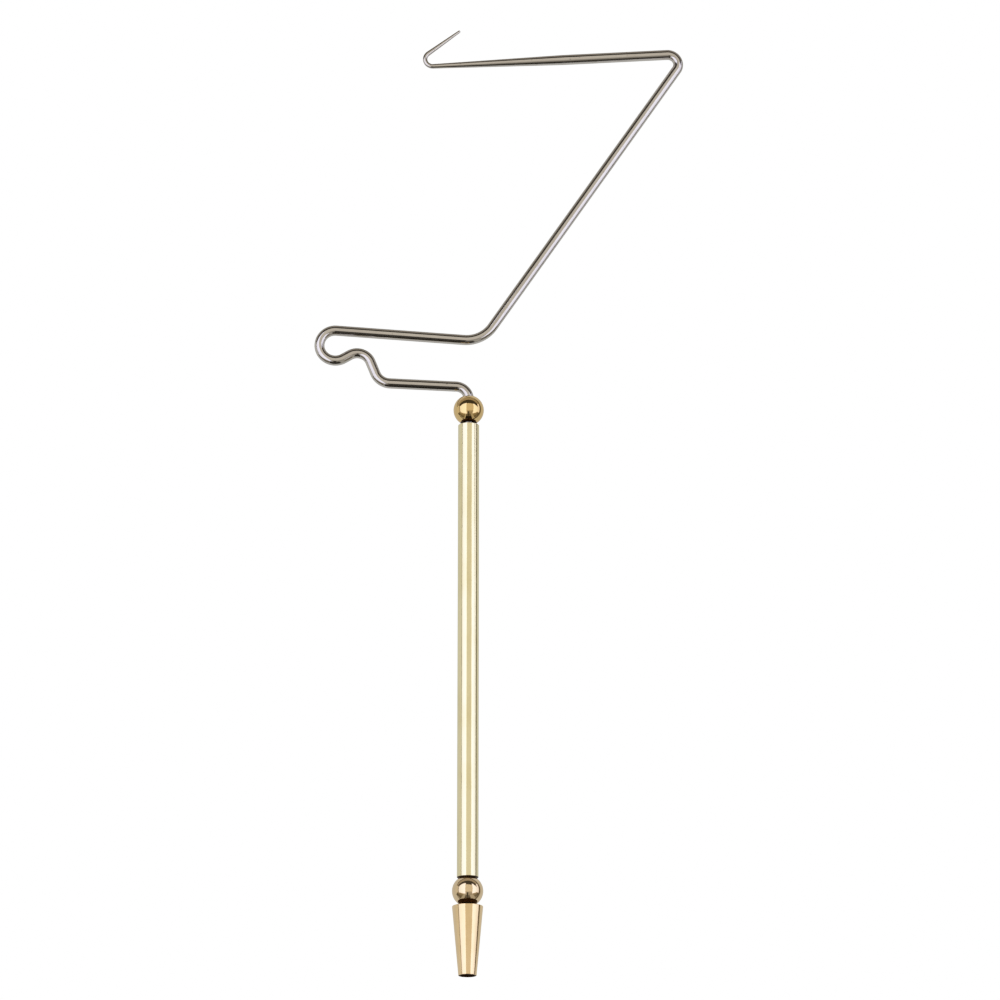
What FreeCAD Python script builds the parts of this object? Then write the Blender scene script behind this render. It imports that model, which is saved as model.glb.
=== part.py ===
import FreeCAD, Part
import math
import os

Vector = FreeCAD.Vector

# Lengths are in millimetres and angles in degrees.
#
# The tool lies on its side on a bench. Y runs along the handle towards the hook, Z is up, and the origin
# is the centre of the half-hitch cone's mouth. The bench is one ball radius below the handle's axis.

# Stock that the tool is made from
WIRE_RADIUS = 1.1
BALL_RADIUS = 3.175
TUBE_OUTER_RADIUS = 2.2
TUBE_BORE_RADIUS = 1.7

# Half-hitch cone: a hollow nose at the tail end, pressed on the wire
CONE_LENGTH = 14.1
CONE_MOUTH_RADIUS = 1.85
HITCH_BORE_RADIUS = 1.5
HITCH_BORE_DEPTH = 7.0
DRILL_POINT_ANGLE = 118.0
WIRE_SOCKET_DEPTH = 5.1
MOUTH_EDGE_BREAK = 0.1
RIM_EDGE_BREAK = 0.15

# Loose balls, which carry the handle's end thrust
BALL_BORE_RADIUS = WIRE_RADIUS + 0.05
BALL_COUNTERSINK_RADIUS = 1.7

# Handle tube and the bushes in its two ends
TUBE_LENGTH = 95.5
TUBE_EDGE_BREAK = 0.12
BUSH_LENGTH = 6.0
BUSH_BORE_RADIUS = WIRE_RADIUS + 0.04
BUSH_EDGE_BREAK = 0.15

# End play along the shaft
CONE_TO_BALL_GAP = 0.42
LOWER_BALL_TO_TUBE_GAP = 0.08
TUBE_TO_UPPER_BALL_GAP = 0.62

# Wire frame. Each bend has the straight run that leads to it, its centreline radius, and its turn, which
# is positive to the left when the tool is seen from above.
CRANK_START_PAST_BALL = 2.45
CRANK = (0.0, 2.7, 88.0)
ELBOW = (13.8, 3.4, -66.0)
HUMP = (2.7, 3.0, 98.5)
LOOP = (1.6, 3.3, -214.0)
LOWER_CORNER = (26.6, 6.7, 59.7)
UPPER_CORNER = (70.5, 2.2, 127.9)
HOOK_BEND = (50.0, 1.6, -146.0)
POINT_LENGTH = 8.7

# The last part of the wire is ground down to a fine hook.
TAPER_LENGTH = 27.5
HOOK_RADIUS = 0.52
POINT_RADIUS = 0.3
WIRE_END_BREAK = 0.2

SPIN_AXIS = Vector(0, 1, 0)
UP = Vector(0, 0, 1)


def ring_offset(radius):
    """Distance from a ball's centre to the plane where its surface has this radius."""
    return math.sqrt(BALL_RADIUS ** 2 - radius ** 2)


# Places along the handle's axis
BALL_END = ring_offset(BALL_COUNTERSINK_RADIUS)
LOWER_BALL_Y = CONE_LENGTH + CONE_TO_BALL_GAP + BALL_END
TUBE_START_Y = LOWER_BALL_Y + BALL_END + LOWER_BALL_TO_TUBE_GAP
TUBE_END_Y = TUBE_START_Y + TUBE_LENGTH
UPPER_BALL_Y = TUBE_END_Y + TUBE_TO_UPPER_BALL_GAP + BALL_END
WIRE_START_Y = CONE_LENGTH - WIRE_SOCKET_DEPTH
CRANK_START_Y = UPPER_BALL_Y + CRANK_START_PAST_BALL


def turned(profile_edges):
    """Spin a closed half profile, drawn in the XY plane with X as the radius, about the handle's axis."""
    face = Part.Face(Part.Wire(profile_edges))
    return face.revolve(Vector(0, 0, 0), SPIN_AXIS, 360)


def polyline(points):
    """Straight edges through (radius, y) points."""
    return Part.makePolygon([Vector(radius, y, 0) for radius, y in points]).Edges


def half_hitch_cone():
    """Turned nose: drilled from the mouth for the hitch, and from the other end for the wire."""
    drill_point = HITCH_BORE_RADIUS / math.tan(math.radians(DRILL_POINT_ANGLE / 2))
    flank_slope = (BALL_RADIUS - CONE_MOUTH_RADIUS) / CONE_LENGTH
    mouth_edge_radius = CONE_MOUTH_RADIUS + flank_slope * MOUTH_EDGE_BREAK
    rim_edge_radius = BALL_RADIUS - flank_slope * RIM_EDGE_BREAK
    return turned(polyline([
        (0, HITCH_BORE_DEPTH + drill_point),
        (HITCH_BORE_RADIUS, HITCH_BORE_DEPTH),
        (HITCH_BORE_RADIUS, 0),
        (CONE_MOUTH_RADIUS - MOUTH_EDGE_BREAK, 0),
        (mouth_edge_radius, MOUTH_EDGE_BREAK),
        (rim_edge_radius, CONE_LENGTH - RIM_EDGE_BREAK),
        (BALL_RADIUS - RIM_EDGE_BREAK, CONE_LENGTH),
        (WIRE_RADIUS, CONE_LENGTH),
        (WIRE_RADIUS, WIRE_START_Y),
        (0, WIRE_START_Y),
        (0, HITCH_BORE_DEPTH + drill_point),
    ]))


def ball(centre_y):
    """Drilled ball, countersunk at both ends of its bore."""
    countersink_depth = BALL_COUNTERSINK_RADIUS - BALL_BORE_RADIUS
    bore_end = BALL_END - countersink_depth
    outside = Part.Arc(
        Vector(BALL_COUNTERSINK_RADIUS, centre_y - BALL_END, 0),
        Vector(BALL_RADIUS, centre_y, 0),
        Vector(BALL_COUNTERSINK_RADIUS, centre_y + BALL_END, 0),
    ).toShape()
    inside = polyline([
        (BALL_COUNTERSINK_RADIUS, centre_y + BALL_END),
        (BALL_BORE_RADIUS, centre_y + bore_end),
        (BALL_BORE_RADIUS, centre_y - bore_end),
        (BALL_COUNTERSINK_RADIUS, centre_y - BALL_END),
    ])
    return turned([outside] + inside)


def handle_tube():
    """Thin tube with its outer edges broken."""
    return turned(polyline([
        (TUBE_BORE_RADIUS, TUBE_START_Y),
        (TUBE_OUTER_RADIUS - TUBE_EDGE_BREAK, TUBE_START_Y),
        (TUBE_OUTER_RADIUS, TUBE_START_Y + TUBE_EDGE_BREAK),
        (TUBE_OUTER_RADIUS, TUBE_END_Y - TUBE_EDGE_BREAK),
        (TUBE_OUTER_RADIUS - TUBE_EDGE_BREAK, TUBE_END_Y),
        (TUBE_BORE_RADIUS, TUBE_END_Y),
        (TUBE_BORE_RADIUS, TUBE_START_Y),
    ]))


def bush(outer_y, inner_y):
    """Bush that runs on the wire, flush with the tube's end at outer_y."""
    inward = math.copysign(BUSH_EDGE_BREAK, inner_y - outer_y)
    return turned(polyline([
        (BUSH_BORE_RADIUS + BUSH_EDGE_BREAK, outer_y),
        (TUBE_BORE_RADIUS, outer_y),
        (TUBE_BORE_RADIUS, inner_y),
        (BUSH_BORE_RADIUS + BUSH_EDGE_BREAK, inner_y),
        (BUSH_BORE_RADIUS, inner_y - inward),
        (BUSH_BORE_RADIUS, outer_y + inward),
        (BUSH_BORE_RADIUS + BUSH_EDGE_BREAK, outer_y),
    ]))


class WireBender:
    """Lays wire flat in the XY plane, run by run and bend by bend, as a bending jig would."""

    def __init__(self, start, heading):
        self.place = start
        self.heading = heading
        self.solids = []
        self.farthest_x = start.x

    def direction(self):
        angle = math.radians(self.heading)
        return Vector(math.cos(angle), math.sin(angle), 0)

    def run(self, length, start_radius, end_radius):
        """Straight run, tapered where the two radii differ."""
        if length <= 0:
            return
        ahead = self.direction()
        if start_radius == end_radius:
            solid = Part.makeCylinder(start_radius, length, self.place, ahead)
        else:
            solid = Part.makeCone(start_radius, end_radius, length, self.place, ahead)
        self.solids.append(solid)
        self.place = self.place + ahead * length

    def bend(self, bend_radius, turn, wire_radius):
        """Round bend about a pin of the jig."""
        side = math.copysign(1, turn)
        ahead = self.direction()
        pin = self.place + UP.cross(ahead) * (side * bend_radius)
        section = Part.Face(Part.Wire(Part.makeCircle(wire_radius, self.place, ahead)))
        self.solids.append(section.revolve(pin, UP * side, abs(turn)))
        swing = FreeCAD.Rotation(UP, turn)
        self.place = pin + swing.multVec(self.place - pin)
        self.heading += turn
        self.farthest_x = max(self.farthest_x, pin.x + bend_radius)

    def round_off(self, radius):
        """Hemisphere on the wire's end."""
        self.solids.append(Part.makeSphere(radius, self.place, self.direction(), 0, 90, 360))

    def solid(self):
        return self.solids[0].multiFuse(self.solids[1:]).removeSplitter()


def wire_frame():
    """One length of wire: shaft, crank, loop, two long arms and the ground hook."""
    wire = WireBender(Vector(0, WIRE_START_Y, 0), 90.0)
    wire.run(WIRE_END_BREAK, WIRE_RADIUS - WIRE_END_BREAK, WIRE_RADIUS)
    wire.run(CRANK_START_Y - wire.place.y, WIRE_RADIUS, WIRE_RADIUS)
    for straight, bend_radius, turn in (CRANK, ELBOW, HUMP, LOOP, LOWER_CORNER, UPPER_CORNER):
        wire.run(straight, WIRE_RADIUS, WIRE_RADIUS)
        wire.bend(bend_radius, turn, WIRE_RADIUS)
    upper_arm, hook_bend_radius, hook_turn = HOOK_BEND
    wire.run(upper_arm - TAPER_LENGTH, WIRE_RADIUS, WIRE_RADIUS)
    wire.run(TAPER_LENGTH, WIRE_RADIUS, HOOK_RADIUS)
    wire.bend(hook_bend_radius, hook_turn, HOOK_RADIUS)
    wire.run(POINT_LENGTH - POINT_RADIUS, HOOK_RADIUS, POINT_RADIUS)
    wire.round_off(POINT_RADIUS)
    flat = wire.solid()
    # The frame rolls about the handle until its upper corner touches the bench.
    roll = math.degrees(math.asin((BALL_RADIUS - WIRE_RADIUS) / wire.farthest_x))
    flat.rotate(Vector(0, 0, 0), SPIN_AXIS, roll)
    return flat


def main():
    os.makedirs("parts", exist_ok=True)
    nodes = {
        "wire_frame": wire_frame(),
        "half_hitch_cone": half_hitch_cone(),
        "upper_ball": ball(UPPER_BALL_Y),
        "lower_ball": ball(LOWER_BALL_Y),
        "handle_tube": handle_tube(),
        "upper_bush": bush(TUBE_END_Y, TUBE_END_Y - BUSH_LENGTH),
        "lower_bush": bush(TUBE_START_Y, TUBE_START_Y + BUSH_LENGTH),
    }
    for name, shape in nodes.items():
        shape.exportStep("parts/" + name + ".step")


main()
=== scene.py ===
import math

import bmesh
import bpy
from mathutils import Matrix, Vector


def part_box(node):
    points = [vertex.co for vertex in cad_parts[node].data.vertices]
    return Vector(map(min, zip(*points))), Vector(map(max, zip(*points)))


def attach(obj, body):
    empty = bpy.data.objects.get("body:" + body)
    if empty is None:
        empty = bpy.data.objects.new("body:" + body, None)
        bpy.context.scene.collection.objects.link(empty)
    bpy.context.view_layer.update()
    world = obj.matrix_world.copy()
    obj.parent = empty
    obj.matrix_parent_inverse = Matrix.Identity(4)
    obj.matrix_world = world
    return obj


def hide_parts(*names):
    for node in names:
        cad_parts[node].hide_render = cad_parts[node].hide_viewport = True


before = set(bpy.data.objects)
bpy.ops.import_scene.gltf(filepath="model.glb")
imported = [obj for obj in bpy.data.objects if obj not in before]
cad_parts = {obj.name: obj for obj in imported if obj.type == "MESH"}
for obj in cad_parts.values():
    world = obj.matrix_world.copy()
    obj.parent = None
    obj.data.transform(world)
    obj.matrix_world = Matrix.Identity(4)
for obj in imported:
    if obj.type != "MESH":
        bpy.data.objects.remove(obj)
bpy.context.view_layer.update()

MM = 0.001

# The wire, as it is bent: the straight run before each bend, its centreline radius and its turn to the left
# in degrees
WIRE_RADIUS = 1.1 * MM
WIRE_BENDS = (
    (0.0, 2.7 * MM, 88.0),
    (13.8 * MM, 3.4 * MM, -66.0),
    (2.7 * MM, 3.0 * MM, 98.5),
    (1.6 * MM, 3.3 * MM, -214.0),
    (26.6 * MM, 6.7 * MM, 59.7),
    (70.5 * MM, 2.2 * MM, 127.9),
    (50.0 * MM, 1.6 * MM, -146.0),
)
CRANK_PAST_BALL = 2.45 * MM
WIRE_SOCKET_DEPTH = 5.1 * MM
POINT_LENGTH = 8.7 * MM
TAPER_LENGTH = 27.5 * MM
HOOK_RADIUS = 0.52 * MM
POINT_RADIUS = 0.3 * MM
# Share by which the round wire is flattened in the middle of a bend
BEND_FLATTENING = 0.025

# Turned pieces, where the frame's boxes don't give the size
CONE_MOUTH_RADIUS = 1.85 * MM
HITCH_BORE_RADIUS = 1.5 * MM
HITCH_BORE_DEPTH = 7.0 * MM
DRILL_POINT_ANGLE = 118
BALL_BORE_RADIUS = WIRE_RADIUS + 0.05 * MM
BUSH_BORE_RADIUS = WIRE_RADIUS + 0.04 * MM

# Rounded edges
TUBE_EDGE = 0.1 * MM
TUBE_INNER_EDGE = 0.05 * MM
BUSH_EDGE = 0.12 * MM
CONE_MOUTH_EDGE = 0.1 * MM
CONE_RIM_EDGE = 0.12 * MM
HITCH_BORE_EDGE = 0.06 * MM
WIRE_SOCKET_EDGE = 0.05 * MM

# How finely the meshes are divided
SEGMENTS = 128
BALL_STEPS = 72
CORNER_STEPS = 5
WIRE_SIDES = 56
SHAFT_SPACING = 4 * MM
ARM_SPACING = 1 * MM
TAPER_SPACING = 0.25 * MM
POINT_SPACING = 0.2 * MM
DEGREES_PER_BEND_STEP = 3.0
POINT_STEPS = 5

# Edges that turn by more degrees than this are shaded sharp
BALL_SHARP_ANGLE = 30
CONE_SHARP_ANGLE = 50

# Points of an outline that are nearer to the axis than this are taken as lying on it
ON_AXIS = 0.0001 * MM

SPIN_AXIS = Vector((0, 1, 0))
UP = Vector((0, 0, 1))


# ---- sizes read from the frame ----

def radius_of(node):
    low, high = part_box(node)
    return (high[0] - low[0]) / 2


def span_of(node):
    low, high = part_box(node)
    return low[1], high[1]


# ---- meshes ----

def new_piece(name, vertices, faces, body, node):
    """Smooth mesh that stands for a CAD node and rides on its body."""
    mesh = bpy.data.meshes.new(name)
    mesh.from_pydata(vertices, [], faces)
    mesh.validate()
    mesh.shade_smooth()
    piece = bpy.data.objects.new(name, mesh)
    bpy.context.collection.objects.link(piece)
    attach(piece, body)
    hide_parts(node)
    return piece


def eased(corners):
    """Closed outline with each corner (radius, y, easing) rounded by that easing."""
    outline = []
    count = len(corners)
    for index, (radius, y, easing) in enumerate(corners):
        here = Vector((radius, y))
        if easing == 0:
            outline.append(here)
            continue
        before = (Vector(corners[index - 1][:2]) - here).normalized()
        after = (Vector(corners[(index + 1) % count][:2]) - here).normalized()
        half_angle = before.angle(after) / 2
        back = easing / math.tan(half_angle)
        start = here + before * back
        end = here + after * back
        middle = here + (before + after).normalized() * (easing / math.sin(half_angle))
        sweep = (start - middle).angle_signed(end - middle)
        for step in range(CORNER_STEPS + 1):
            turn = Matrix.Rotation(-sweep * step / CORNER_STEPS, 2)
            outline.append(middle + turn @ (start - middle))
    return outline


def turned(outline, closed=True):
    """Vertices and faces of an outline of (radius, y) points spun about the handle's axis."""
    vertices = []
    rings = []
    for radius, y in outline:
        if radius < ON_AXIS:
            rings.append([len(vertices)])
            vertices.append((0, y, 0))
            continue
        rings.append(list(range(len(vertices), len(vertices) + SEGMENTS)))
        for segment in range(SEGMENTS):
            angle = math.tau * segment / SEGMENTS
            vertices.append((radius * math.sin(angle), y, radius * math.cos(angle)))
    faces = []
    pairs = list(zip(rings, rings[1:]))
    if closed:
        pairs.append((rings[-1], rings[0]))
    for ring, following in pairs:
        for segment in range(SEGMENTS):
            beside = (segment + 1) % SEGMENTS
            if len(ring) == 1:
                faces.append((ring[0], following[beside], following[segment]))
            elif len(following) == 1:
                faces.append((ring[segment], ring[beside], following[0]))
            else:
                faces.append((ring[segment], ring[beside], following[beside], following[segment]))
    return vertices, faces


def keep_flats_flat(piece):
    """Face-weighted normals, so that a rounded edge doesn't tilt the shading of the wall beside it."""
    modifier = piece.modifiers.new("flat walls", "WEIGHTED_NORMAL")
    modifier.keep_sharp = True


def outward(piece):
    """Turn all faces outward."""
    work = bmesh.new()
    work.from_mesh(piece.data)
    bmesh.ops.recalc_face_normals(work, faces=work.faces)
    work.to_mesh(piece.data)
    work.free()
    piece.data.shade_smooth()


def make_tube():
    outer = radius_of("handle_tube")
    bore = radius_of("upper_bush")
    start, end = span_of("handle_tube")
    outline = eased([
        (bore, start, TUBE_INNER_EDGE),
        (outer, start, TUBE_EDGE),
        (outer, end, TUBE_EDGE),
        (bore, end, TUBE_INNER_EDGE),
    ])
    vertices, faces = turned(outline)
    piece = new_piece("drawn_tube", vertices, faces, "handle", "handle_tube")
    outward(piece)
    keep_flats_flat(piece)
    return piece


def make_bush(name, node):
    outer = radius_of(node)
    start, end = span_of(node)
    outline = eased([
        (BUSH_BORE_RADIUS, start, BUSH_EDGE),
        (outer, start, 0),
        (outer, end, 0),
        (BUSH_BORE_RADIUS, end, BUSH_EDGE),
    ])
    vertices, faces = turned(outline)
    piece = new_piece(name, vertices, faces, "handle", node)
    outward(piece)
    keep_flats_flat(piece)
    return piece


def make_ball(name, node):
    radius = radius_of(node)
    start, end = span_of(node)
    centre = (start + end) / 2
    half = (end - start) / 2
    countersink = math.sqrt(radius ** 2 - half ** 2)
    bore_half = half - (countersink - BALL_BORE_RADIUS)
    lip_angle = math.asin(half / radius)
    outline = []
    for step in range(BALL_STEPS + 1):
        angle = lip_angle * (2 * step / BALL_STEPS - 1)
        outline.append((radius * math.cos(angle), centre + radius * math.sin(angle)))
    outline.append((BALL_BORE_RADIUS, centre + bore_half))
    outline.append((BALL_BORE_RADIUS, centre - bore_half))
    vertices, faces = turned(outline)
    piece = new_piece(name, vertices, faces, node, node)
    outward(piece)
    piece.data.set_sharp_from_angle(angle=math.radians(BALL_SHARP_ANGLE))
    return piece


def make_cone():
    rim = radius_of("half_hitch_cone")
    start, end = span_of("half_hitch_cone")
    bore_end = start + HITCH_BORE_DEPTH
    point = bore_end + HITCH_BORE_RADIUS / math.tan(math.radians(DRILL_POINT_ANGLE / 2))
    socket_start = end - WIRE_SOCKET_DEPTH
    outline = eased([
        (0, point, 0),
        (HITCH_BORE_RADIUS, bore_end, 0),
        (HITCH_BORE_RADIUS, start, HITCH_BORE_EDGE),
        (CONE_MOUTH_RADIUS, start, CONE_MOUTH_EDGE),
        (rim, end, CONE_RIM_EDGE),
        (WIRE_RADIUS, end, WIRE_SOCKET_EDGE),
        (WIRE_RADIUS, socket_start, 0),
        (0, socket_start, 0),
    ])
    vertices, faces = turned(outline, closed=False)
    piece = new_piece("turned_cone", vertices, faces, "frame", "half_hitch_cone")
    outward(piece)
    keep_flats_flat(piece)
    piece.data.set_sharp_from_angle(angle=math.radians(CONE_SHARP_ANGLE))
    return piece


# ---- the wire ----

class Bender:
    """Walks along the wire's centreline, flat in the XY plane, and notes stations on the way.

    A station is its place, the way to the left, the distance along the wire, the wire's radius and how far
    the wire is bent there, from 0 to 1.
    """

    def __init__(self, start, heading):
        self.place = start
        self.heading = math.radians(heading)
        self.along = 0.0
        self.stations = []

    def note(self, radius, bent):
        self.stations.append((self.place.copy(), self.left(), self.along, radius, bent))

    def ahead(self):
        return Vector((math.cos(self.heading), math.sin(self.heading), 0))

    def left(self):
        return Vector((-math.sin(self.heading), math.cos(self.heading), 0))

    def run(self, length, radius_from, radius_to, spacing):
        steps = max(1, math.ceil(length / spacing))
        start = self.place.copy()
        ahead = self.ahead()
        first = self.along
        for step in range(1, steps + 1):
            share = step / steps
            self.place = start + ahead * (length * share)
            self.along = first + length * share
            self.note(radius_from + (radius_to - radius_from) * share, 0.0)

    def bend(self, bend_radius, turn, radius):
        side = math.copysign(1.0, turn)
        steps = math.ceil(abs(turn) / DEGREES_PER_BEND_STEP)
        to_pin = self.left() * (side * bend_radius)
        pin = self.place + to_pin
        arm = -to_pin
        first_heading = self.heading
        first = self.along
        for step in range(1, steps + 1):
            share = step / steps
            swing = math.radians(turn) * share
            self.place = pin + Matrix.Rotation(swing, 3, "Z") @ arm
            self.heading = first_heading + swing
            self.along = first + abs(swing) * bend_radius
            self.note(radius, math.sin(math.pi * share))

    def round_off(self, radius):
        """Hemisphere on the wire's end, which stops at its last point."""
        base = self.place.copy()
        ahead = self.ahead()
        first = self.along
        for step in range(1, POINT_STEPS + 1):
            angle = math.pi / 2 * step / POINT_STEPS
            reached = radius * math.sin(angle)
            self.place = base + ahead * reached
            self.along = first + reached
            if step < POINT_STEPS:
                self.note(radius * math.cos(angle), 0.0)


def walk_wire():
    """Walk from the tail end in the cone to the hook's point."""
    tail = span_of("half_hitch_cone")[1] - WIRE_SOCKET_DEPTH
    crank = sum(span_of("upper_ball")) / 2 + CRANK_PAST_BALL
    wire = Bender(Vector((0, tail, 0)), 90.0)
    wire.note(WIRE_RADIUS, 0.0)
    wire.run(crank - tail, WIRE_RADIUS, WIRE_RADIUS, SHAFT_SPACING)
    for straight, bend_radius, turn in WIRE_BENDS[:-1]:
        if straight > 0:
            wire.run(straight, WIRE_RADIUS, WIRE_RADIUS, ARM_SPACING)
        wire.bend(bend_radius, turn, WIRE_RADIUS)
    upper_arm, hook_bend, hook_turn = WIRE_BENDS[-1]
    wire.run(upper_arm - TAPER_LENGTH, WIRE_RADIUS, WIRE_RADIUS, ARM_SPACING)
    wire.run(TAPER_LENGTH, WIRE_RADIUS, HOOK_RADIUS, TAPER_SPACING)
    wire.bend(hook_bend, hook_turn, HOOK_RADIUS)
    wire.run(POINT_LENGTH - POINT_RADIUS, HOOK_RADIUS, POINT_RADIUS, POINT_SPACING)
    wire.round_off(POINT_RADIUS)
    return wire


def wire_vertices(wire):
    """Rings round the stations, then tail and tip: as bent, and as they would be on a straight wire."""
    vertices = []
    straightened = []
    for place, left, along, radius, bent in wire.stations:
        flattening = 1 - BEND_FLATTENING * bent
        for step in range(WIRE_SIDES):
            angle = math.tau * step / WIRE_SIDES
            across = math.cos(angle) * radius
            above = math.sin(angle) * radius
            vertices.append(place + left * (across * flattening) + UP * above)
            straightened.append((across, along, above))
    tail_place = wire.stations[0][0]
    vertices.append(tail_place)
    straightened.append((0, 0, 0))
    vertices.append(wire.place)
    straightened.append((0, wire.along, 0))
    return vertices, straightened


def wire_faces(ring_count):
    """Walls between the rings and a fan over each end."""
    faces = []
    for ring in range(ring_count - 1):
        this = ring * WIRE_SIDES
        following = this + WIRE_SIDES
        for step in range(WIRE_SIDES):
            beside = (step + 1) % WIRE_SIDES
            faces.append((this + step, this + beside, following + beside, following + step))
    last = (ring_count - 1) * WIRE_SIDES
    tail = ring_count * WIRE_SIDES
    tip = tail + 1
    for step in range(WIRE_SIDES):
        beside = (step + 1) % WIRE_SIDES
        faces.append((tail, beside, step))
        faces.append((tip, last + step, last + beside))
    return faces


def rolled_to_the_bench(vertices):
    """The frame turned about the handle until its upper corner is as low as the balls."""
    farthest = max(vertex.x for vertex in vertices) - WIRE_RADIUS
    roll = math.asin((radius_of("upper_ball") - WIRE_RADIUS) / farthest)
    rolled = Matrix.Rotation(roll, 3, SPIN_AXIS)
    return [rolled @ vertex for vertex in vertices]


def make_wire():
    wire = walk_wire()
    vertices, straightened = wire_vertices(wire)
    faces = wire_faces(len(wire.stations))
    vertices = rolled_to_the_bench(vertices)
    piece = new_piece("bent_wire", vertices, faces, "frame", "wire_frame")
    lay = piece.data.attributes.new("straight_wire", "FLOAT_VECTOR", "POINT")
    for index, place in enumerate(straightened):
        lay.data[index].vector = place
    outward(piece)
    return piece


# ---- materials ----

class Nodes:
    """Small helper that builds a material's nodes."""

    def __init__(self, name):
        self.material = bpy.data.materials.new(name)
        self.material.use_nodes = True
        self.tree = self.material.node_tree
        self.tree.nodes.clear()
        self.output = self.tree.nodes.new("ShaderNodeOutputMaterial")

    def feed(self, socket, value):
        """Link a socket to another node's output, or set it to a plain value."""
        if isinstance(value, bpy.types.NodeSocket):
            self.tree.links.new(value, socket)
        else:
            socket.default_value = value

    def node(self, kind, settings=None, **inputs):
        made = self.tree.nodes.new(kind)
        for key, value in (settings or {}).items():
            setattr(made, key, value)
        for key, value in inputs.items():
            self.feed(made.inputs[key.replace("_", " ")], value)
        return made

    def coordinates(self, attribute=None):
        if attribute:
            return self.node("ShaderNodeAttribute", {"attribute_name": attribute}).outputs["Vector"]
        return self.node("ShaderNodeTexCoord").outputs["Object"]

    def stretched_noise(self, place, scale, detail=3.0, roughness=0.6):
        """Noise whose scale is given per metre along X, Y and Z."""
        mapping = self.node("ShaderNodeMapping", Vector=place, Scale=scale)
        made = self.node("ShaderNodeTexNoise", Vector=mapping.outputs["Vector"], Scale=1.0,
                         Detail=detail, Roughness=roughness)
        return made.outputs["Fac"]

    def distance_from_axis(self, place):
        """Distance from the handle's axis."""
        sideways = self.node("ShaderNodeVectorMath", {"operation": "MULTIPLY"})
        self.feed(sideways.inputs[0], place)
        self.feed(sideways.inputs[1], (1, 0, 1))
        length = self.node("ShaderNodeVectorMath", {"operation": "LENGTH"})
        self.feed(length.inputs[0], sideways.outputs["Vector"])
        return length.outputs["Value"]

    def along_axis(self, place):
        return self.node("ShaderNodeSeparateXYZ", Vector=place).outputs["Y"]

    def ramp(self, value, low, high, out_low=0.0, out_high=1.0):
        """Value between two bounds, carried over to the range from out_low to out_high and clamped."""
        made = self.node("ShaderNodeMapRange", {"clamp": True}, Value=value, From_Min=low, From_Max=high,
                         To_Min=out_low, To_Max=out_high)
        return made.outputs["Result"]

    def math(self, operation, *values):
        made = self.node("ShaderNodeMath", {"operation": operation})
        for socket, value in zip(made.inputs, values):
            self.feed(socket, value)
        return made.outputs[0]

    def mix(self, share, first, second):
        made = self.node("ShaderNodeMix", {"data_type": "RGBA"})
        factor, first_colour, second_colour, mixed = 0, 6, 7, 2
        self.feed(made.inputs[factor], share)
        self.feed(made.inputs[first_colour], first)
        self.feed(made.inputs[second_colour], second)
        return made.outputs[mixed]

    def metal(self, colour, roughness, height, depth):
        bump = self.node("ShaderNodeBump", Height=height, Strength=1.0, Distance=depth)
        shader = self.node("ShaderNodeBsdfPrincipled", Metallic=1.0, Base_Color=colour,
                           Roughness=roughness, Normal=bump.outputs["Normal"])
        self.feed(self.output.inputs["Surface"], shader.outputs["BSDF"])
        return self.material

    def glow(self, colour, strength):
        shader = self.node("ShaderNodeEmission", Color=rgba(*colour), Strength=strength)
        self.feed(self.output.inputs["Surface"], shader.outputs["Emission"])
        return self.material


def rgba(red, green, blue):
    return (red, green, blue, 1.0)


# Brass colours, clean and tarnished. The bushes' near-black pair is painted shade, as is the last, near-black
# colour for joins and holes
TUBE_BRASS = ((0.86, 0.78, 0.49), (0.72, 0.62, 0.32))
UPPER_BALL_BRASS = ((0.78, 0.56, 0.25), (0.60, 0.40, 0.15))
LOWER_BALL_BRASS = ((0.82, 0.64, 0.40), (0.62, 0.46, 0.24))
CONE_BRASS = ((0.88, 0.67, 0.39), (0.72, 0.52, 0.24))
# The bushes' near-black is painted shade inside the tube's ends
BUSH_PAINTED_SHADE = ((0.12, 0.08, 0.04), (0.08, 0.05, 0.025))
# Near-black painted shade for the joins and holes
PAINTED_SHADE_COLOUR = (0.06, 0.03, 0.012)

BRIGHT_STEEL = (0.60, 0.575, 0.525)
DULL_STEEL = (0.53, 0.50, 0.455)
STEEL_PIT = (0.12, 0.10, 0.08)

TUBE_ROUGHNESS = 0.12
BALL_ROUGHNESS = 0.08
CONE_ROUGHNESS = 0.10
BUSH_ROUGHNESS = 0.4
# Roughness where the shade is painted
PAINTED_SHADE_ROUGHNESS = 0.5
STEEL_ROUGHNESS = (0.06, 0.12)

# Noise scales of the fine lines on a surface, per metre along X, Y and Z: lengthwise on drawn stock, rings on
# turned pieces
TUBE_LINES = (6000, 40, 6000)
WIRE_LINES = (6000, 60, 6000)
BALL_RINGS = (900, 4000, 900)
TURNED_RINGS = (900, 5000, 900)
BRASS_LINE_DEPTH = 0.004 * MM
STEEL_LINE_DEPTH = 0.0015 * MM

# Where shade is painted dark at the joins and in the holes, and over what distance it ends
TUBE_END_SHADE_DEPTH = 0.08 * MM
CONE_END_SHADE_DEPTH = 0.02 * MM
BALL_BORE_SHADE_RADIUS = 1.68 * MM
HOLE_SHADE_FADE = 0.06 * MM


def painted_shade_on_ends(node_name, depth):
    """Painted shade on a turned piece's two end faces."""
    start, end = span_of(node_name)
    middle = (start + end) / 2
    half = (end - start) / 2

    def spread(nodes, place):
        past_middle = nodes.math("SUBTRACT", nodes.along_axis(place), middle)
        from_middle = nodes.math("ABSOLUTE", past_middle)
        return nodes.ramp(from_middle, half - depth, half - depth / 2)

    return spread


def painted_shade_in_hole(radius):
    """Painted shade in a hole and round its mouth."""

    def spread(nodes, place):
        return nodes.ramp(nodes.distance_from_axis(place), radius, radius + HOLE_SHADE_FADE, 1.0, 0.0)

    return spread


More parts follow.
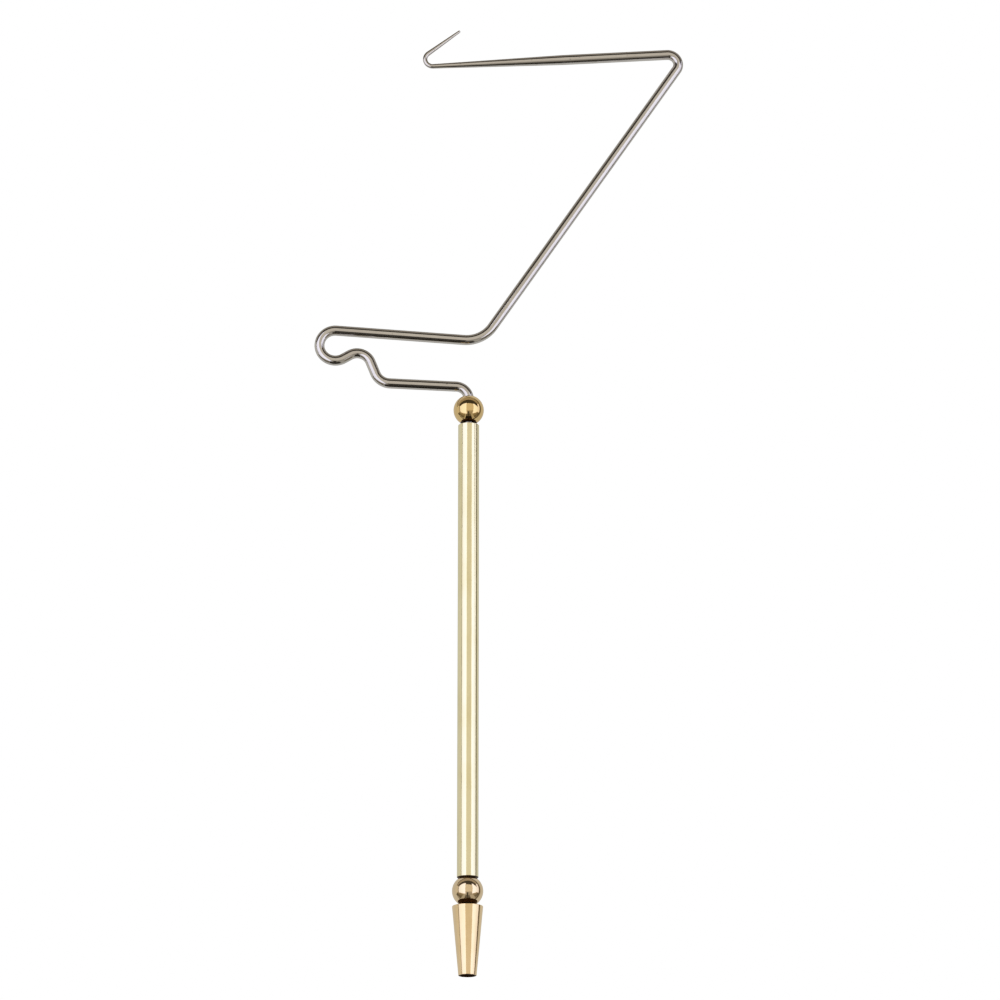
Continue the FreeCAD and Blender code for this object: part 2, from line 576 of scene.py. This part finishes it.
def brass(name, colours, line_scale, roughness, shaded_places=()):
    """Polished brass with fine lines, faint tarnish, small dark specks, and painted shade at its joins and
    holes.
    """
    clean, tarnished = colours
    nodes = Nodes(name)
    place = nodes.coordinates()
    lines = nodes.stretched_noise(place, line_scale)
    clouds = nodes.stretched_noise(place, (300, 120, 300), detail=4.0)
    specks = nodes.stretched_noise(place, (3500, 3500, 3500), detail=2.0)
    tarnish = nodes.ramp(clouds, 0.45, 0.75, 0.0, 0.5)
    speck = nodes.ramp(specks, 0.68, 0.74, 0.0, 0.5)
    colour = nodes.mix(nodes.math("MAXIMUM", tarnish, speck), rgba(*clean), rgba(*tarnished))
    rough = nodes.ramp(lines, 0.3, 0.7, roughness * 0.75, roughness * 1.3)
    for spread in shaded_places:
        # Painted shade: darkens the joins and holes and makes them rougher
        shade_share = spread(nodes, place)
        colour = nodes.mix(shade_share, colour, rgba(*PAINTED_SHADE_COLOUR))
        rough = nodes.math("MAXIMUM", rough, nodes.math("MULTIPLY", shade_share, PAINTED_SHADE_ROUGHNESS))
    return nodes.metal(colour, rough, lines, BRASS_LINE_DEPTH)


def steel(name):
    """Drawn stainless wire: long die lines, faint clouds and small pits."""
    nodes = Nodes(name)
    place = nodes.coordinates("straight_wire")
    lines = nodes.stretched_noise(place, WIRE_LINES)
    clouds = nodes.stretched_noise(place, (500, 200, 500), detail=4.0)
    specks = nodes.stretched_noise(place, (2600, 1500, 2600), detail=2.0)
    dull = nodes.ramp(clouds, 0.35, 0.7)
    pit = nodes.ramp(specks, 0.66, 0.74, 0.0, 0.6)
    colour = nodes.mix(dull, rgba(*BRIGHT_STEEL), rgba(*DULL_STEEL))
    colour = nodes.mix(pit, colour, rgba(*STEEL_PIT))
    rough = nodes.ramp(lines, 0.3, 0.7, *STEEL_ROUGHNESS)
    return nodes.metal(colour, rough, lines, STEEL_LINE_DEPTH)


def dress(pieces):
    # Painted shade on the tube's and cone's end faces
    tube_end_shade = painted_shade_on_ends("handle_tube", TUBE_END_SHADE_DEPTH)
    # Painted shade in the balls' bores and in the cone's bore
    ball_bore_shade = painted_shade_in_hole(BALL_BORE_SHADE_RADIUS)
    cone_bore_shade = painted_shade_in_hole(HITCH_BORE_RADIUS)
    cone_end_shade = painted_shade_on_ends("half_hitch_cone", CONE_END_SHADE_DEPTH)
    tube_brass = brass("tube_brass", TUBE_BRASS, TUBE_LINES, TUBE_ROUGHNESS, (tube_end_shade,))
    upper_brass = brass("upper_ball_brass", UPPER_BALL_BRASS, BALL_RINGS, BALL_ROUGHNESS, (ball_bore_shade,))
    lower_brass = brass("lower_ball_brass", LOWER_BALL_BRASS, BALL_RINGS, BALL_ROUGHNESS, (ball_bore_shade,))
    cone_brass = brass("cone_brass", CONE_BRASS, TURNED_RINGS, CONE_ROUGHNESS,
                       (cone_bore_shade, cone_end_shade))
    # Near-black brass that paints the shade inside the tube's ends
    bush_brass = brass("bush_brass", BUSH_PAINTED_SHADE, TURNED_RINGS, BUSH_ROUGHNESS)
    wire_steel = steel("wire_steel")
    chosen = {
        "drawn_tube": tube_brass,
        "upper_ball_polished": upper_brass,
        "lower_ball_polished": lower_brass,
        "turned_cone": cone_brass,
        "upper_bush_turned": bush_brass,
        "lower_bush_turned": bush_brass,
        "bent_wire": wire_steel,
    }
    for piece in pieces:
        piece.data.materials.append(chosen[piece.name])


# ---- studio, in metres ----

# The camera looks at the tool's centre, tilted in degrees from straight down. Its lens and sensor are in
# millimetres, as Blender wants them.
TOOL_CENTRE = Vector((6.5 * MM, 99.3 * MM, 0))
CAMERA_TILT = 17
CAMERA_DISTANCE = 907.3 * MM
FOCAL_LENGTH = 158.4
SENSOR_WIDTH = 36.0

# Glow that the tone curve turns into pure white
WHITE_GLOW = 1.2

# Light tent over the bench: two soft panels with a gap between them that the camera looks through
PANEL_HEIGHT = 0.286
PANEL_NEAR_Y = -0.148
PANEL_FAR_Y = 0.36
GAP_LEFT_X = -0.0875
GAP_RIGHT_X = 0.2155
LEFT_PANEL_END_X = -0.72
RIGHT_PANEL_END_X = 1.0
RIGHT_SIDE_FAR_Y = 0.8
RIGHT_SIDE_BOTTOM = 0.01
SOFTBOX_COLOUR = (1.0, 1.0, 1.2)
SOFTBOX_GLOW = 1.6
SOFTBOX_END_GLOW = SOFTBOX_GLOW * 0.75

# Cloths that hang from the tent's near edge, left and right of the camera's view
SKIRT_BOTTOM = 0.02
LEFT_SKIRT_X = (-1.0, -0.15)
RIGHT_SKIRT_X = (0.2, 1.0)

# Ceiling over the tent, with the camera's stand below it
CEILING_HEIGHT = 2.0
CEILING_X = (-0.62, 1.51)
CEILING_Y = (-1.75, 1.7)
STAND_HEIGHT = 0.9
STAND_X = (-0.09, 0.09)
STAND_Y = (-1.4, -0.29)

# Room round the tent
ROOM_LEFT_X = -5
ROOM_RIGHT_X = 5
ROOM_NEAR_Y = -2.4
ROOM_FAR_Y = 1.6
ROOM_HEIGHT = 4.0
ROOM_WALL_BOTTOM = -0.12
FAR_HORIZON_TOP = 0.55
NEAR_DARK_X = (-1, 1)
NEAR_DARK_BOTTOM = -0.3
NEAR_DARK_TOP = 1.4

# Low cards beside the bench and a white sheet under it
LEFT_CARD_X = -1.5
RIGHT_CARD_X = 1.7
SHEET_HEIGHT = -0.5
SHEET_LEFT_X = -4.75
SHEET_Y = (-2.8, 2.8)

# Bench top, low enough for the frame to spin above it
BENCH_HEIGHT = -60 * MM
BENCH_REACH = 8


def fading_glow(name, colour, stops, along):
    """Emission that fades along X, Y or Z through stops of (place in metres, strength)."""
    nodes = Nodes(name)
    place = nodes.node("ShaderNodeSeparateXYZ", Vector=nodes.coordinates()).outputs[along]
    strength = stops[0][1]
    for (start, before), (end, after) in zip(stops, stops[1:]):
        rise = nodes.ramp(place, start, end, 0.0, after - before)
        strength = nodes.math("ADD", strength, rise)
    return nodes.glow(colour, strength)


def even_glow(name, colour, strength):
    return Nodes(name).glow(colour, strength)


def panel(name, corners, material):
    """Flat four-cornered card, which only reflections see."""
    mesh = bpy.data.meshes.new(name)
    mesh.from_pydata(corners, [], [(0, 1, 2, 3)])
    made = bpy.data.objects.new(name, mesh)
    bpy.context.collection.objects.link(made)
    made.data.materials.append(material)
    made.visible_camera = False
    made.visible_diffuse = False
    made.visible_shadow = False
    return made


def level_panel(name, x, y, height, material):
    corners = [(x[0], y[0], height), (x[1], y[0], height), (x[1], y[1], height), (x[0], y[1], height)]
    return panel(name, corners, material)


def side_panel(name, x, y, z, material):
    corners = [(x, y[0], z[0]), (x, y[1], z[0]), (x, y[1], z[1]), (x, y[0], z[1])]
    return panel(name, corners, material)


def end_panel(name, x, y, z, material):
    corners = [(x[0], y, z[0]), (x[1], y, z[0]), (x[1], y, z[1]), (x[0], y, z[1])]
    return panel(name, corners, material)


def make_tent():
    panel_y = (PANEL_NEAR_Y, PANEL_FAR_Y)
    left_stops = ((LEFT_PANEL_END_X, SOFTBOX_END_GLOW), (GAP_LEFT_X, SOFTBOX_GLOW))
    right_stops = ((GAP_RIGHT_X, SOFTBOX_GLOW), (RIGHT_PANEL_END_X, SOFTBOX_END_GLOW))
    left_light = fading_glow("left_light", SOFTBOX_COLOUR, left_stops, "X")
    right_light = fading_glow("right_light", SOFTBOX_COLOUR, right_stops, "X")
    level_panel("left_softbox", (LEFT_PANEL_END_X, GAP_LEFT_X), panel_y, PANEL_HEIGHT, left_light)
    level_panel("right_softbox", (GAP_RIGHT_X, RIGHT_PANEL_END_X), panel_y, PANEL_HEIGHT, right_light)
    side_y = (PANEL_NEAR_Y, RIGHT_SIDE_FAR_Y)
    side_z = (RIGHT_SIDE_BOTTOM, PANEL_HEIGHT)
    side_panel("right_softbox_side", RIGHT_PANEL_END_X, side_y, side_z, right_light)


def make_skirts():
    skirt = fading_glow("skirt", (1.0, 0.88, 0.68), ((SKIRT_BOTTOM, 0.12), (PANEL_HEIGHT, 0.45)), "Z")
    skirt_z = (SKIRT_BOTTOM, PANEL_HEIGHT)
    end_panel("left_skirt", LEFT_SKIRT_X, PANEL_NEAR_Y, skirt_z, skirt)
    end_panel("right_skirt", RIGHT_SKIRT_X, PANEL_NEAR_Y, skirt_z, skirt)


def make_ceiling():
    near, far = CEILING_Y
    stops = ((near, 0.45), (-0.66, 0.62), (-0.39, 1.0), (far, 1.0))
    ceiling = fading_glow("ceiling", (0.80, 0.74, 0.66), stops, "Y")
    level_panel("ceiling", CEILING_X, CEILING_Y, CEILING_HEIGHT, ceiling)
    stand = even_glow("camera_stand", (0.05, 0.045, 0.04), 1.0)
    level_panel("camera_stand", STAND_X, STAND_Y, STAND_HEIGHT, stand)


def make_room():
    """Dim walls, a brighter band low on the far wall, and a dark near wall between brighter sides."""
    dim = even_glow("dim_wall", (1.0, 0.9, 0.78), 0.15)
    side = even_glow("near_side_wall", (1.0, 0.95, 0.88), 0.5)
    far = even_glow("far_wall", (1.0, 0.9, 0.78), 0.06)
    dark = even_glow("dark_wall", (1.0, 0.8, 0.6), 0.018)
    horizon = even_glow("horizon", (1.0, 0.88, 0.75), 0.40)
    room_x = (ROOM_LEFT_X, ROOM_RIGHT_X)
    room_y = (ROOM_NEAR_Y, ROOM_FAR_Y)
    wall_z = (ROOM_WALL_BOTTOM, ROOM_HEIGHT)
    dark_left_x, dark_right_x = NEAR_DARK_X
    end_panel("far_wall", room_x, ROOM_FAR_Y, (FAR_HORIZON_TOP, ROOM_HEIGHT), far)
    end_panel("far_horizon", room_x, ROOM_FAR_Y, (ROOM_WALL_BOTTOM, FAR_HORIZON_TOP), horizon)
    end_panel("near_wall", NEAR_DARK_X, ROOM_NEAR_Y, (NEAR_DARK_BOTTOM, NEAR_DARK_TOP), dark)
    end_panel("near_wall_top", NEAR_DARK_X, ROOM_NEAR_Y, (NEAR_DARK_TOP, ROOM_HEIGHT), dim)
    end_panel("near_wall_left", (ROOM_LEFT_X, dark_left_x), ROOM_NEAR_Y, wall_z, side)
    end_panel("near_wall_right", (dark_right_x, ROOM_RIGHT_X), ROOM_NEAR_Y, wall_z, side)
    level_panel("room_ceiling", room_x, room_y, ROOM_HEIGHT, dim)
    side_panel("left_room_wall", ROOM_LEFT_X, room_y, wall_z, dim)
    side_panel("right_room_wall", ROOM_RIGHT_X, room_y, wall_z, dim)


def make_low_cards():
    left = even_glow("left_wall", (1.0, 0.97, 0.92), 0.72)
    right = even_glow("right_wall", (1.0, 0.88, 0.72), 0.16)
    sheet = even_glow("white_sheet", (1.0, 1.0, 1.0), 0.66)
    side_panel("left_wall", LEFT_CARD_X, (-0.3, 0.8), (-0.25, 0.44), left)
    side_panel("right_wall", RIGHT_CARD_X, (-1.7, 1.7), (SHEET_HEIGHT, 0.03), right)
    level_panel("white_sheet", (SHEET_LEFT_X, RIGHT_CARD_X), SHEET_Y, SHEET_HEIGHT, sheet)


def make_bench():
    """White bench top, which only the camera sees."""
    white = even_glow("bench", (1, 1, 1), WHITE_GLOW)
    reach = (-BENCH_REACH, BENCH_REACH)
    bench = level_panel("bench", reach, reach, BENCH_HEIGHT, white)
    bench.visible_camera = True
    bench.visible_glossy = False


def make_background():
    world = bpy.data.worlds.new("studio")
    world.use_nodes = True
    background = world.node_tree.nodes["Background"]
    background.inputs["Color"].default_value = rgba(1, 1, 1)
    background.inputs["Strength"].default_value = WHITE_GLOW
    world.cycles_visibility.glossy = False
    bpy.context.scene.world = world


def set_tone_curve():
    """Straight up to the mid tones, then a soft shoulder that ends at pure white."""
    view = bpy.context.scene.view_settings
    view.view_transform = "Standard"
    view.use_curve_mapping = True
    mapping = view.curve_mapping
    mapping.white_level = (WHITE_GLOW, WHITE_GLOW, WHITE_GLOW)
    combined = mapping.curves[3]
    for glow, shown in ((0.45, 0.45), (0.7, 0.685), (0.9, 0.85), (1.05, 0.94)):
        combined.points.new(glow / WHITE_GLOW, shown)
    mapping.update()


def make_camera():
    tilt = math.radians(CAMERA_TILT)
    data = bpy.data.cameras.new("camera")
    data.lens = FOCAL_LENGTH
    data.sensor_width = SENSOR_WIDTH
    camera = bpy.data.objects.new("camera", data)
    camera.location = TOOL_CENTRE + Vector((0, -math.sin(tilt), math.cos(tilt))) * CAMERA_DISTANCE
    camera.rotation_euler = (tilt, 0, 0)
    bpy.context.collection.objects.link(camera)
    bpy.context.scene.camera = camera


pieces = [
    make_wire(),
    make_tube(),
    make_cone(),
    make_ball("upper_ball_polished", "upper_ball"),
    make_ball("lower_ball_polished", "lower_ball"),
    make_bush("upper_bush_turned", "upper_bush"),
    make_bush("lower_bush_turned", "lower_bush"),
]
dress(pieces)
make_tent()
make_skirts()
make_ceiling()
make_room()
make_low_cards()
make_bench()
make_background()
set_tone_curve()
make_camera()
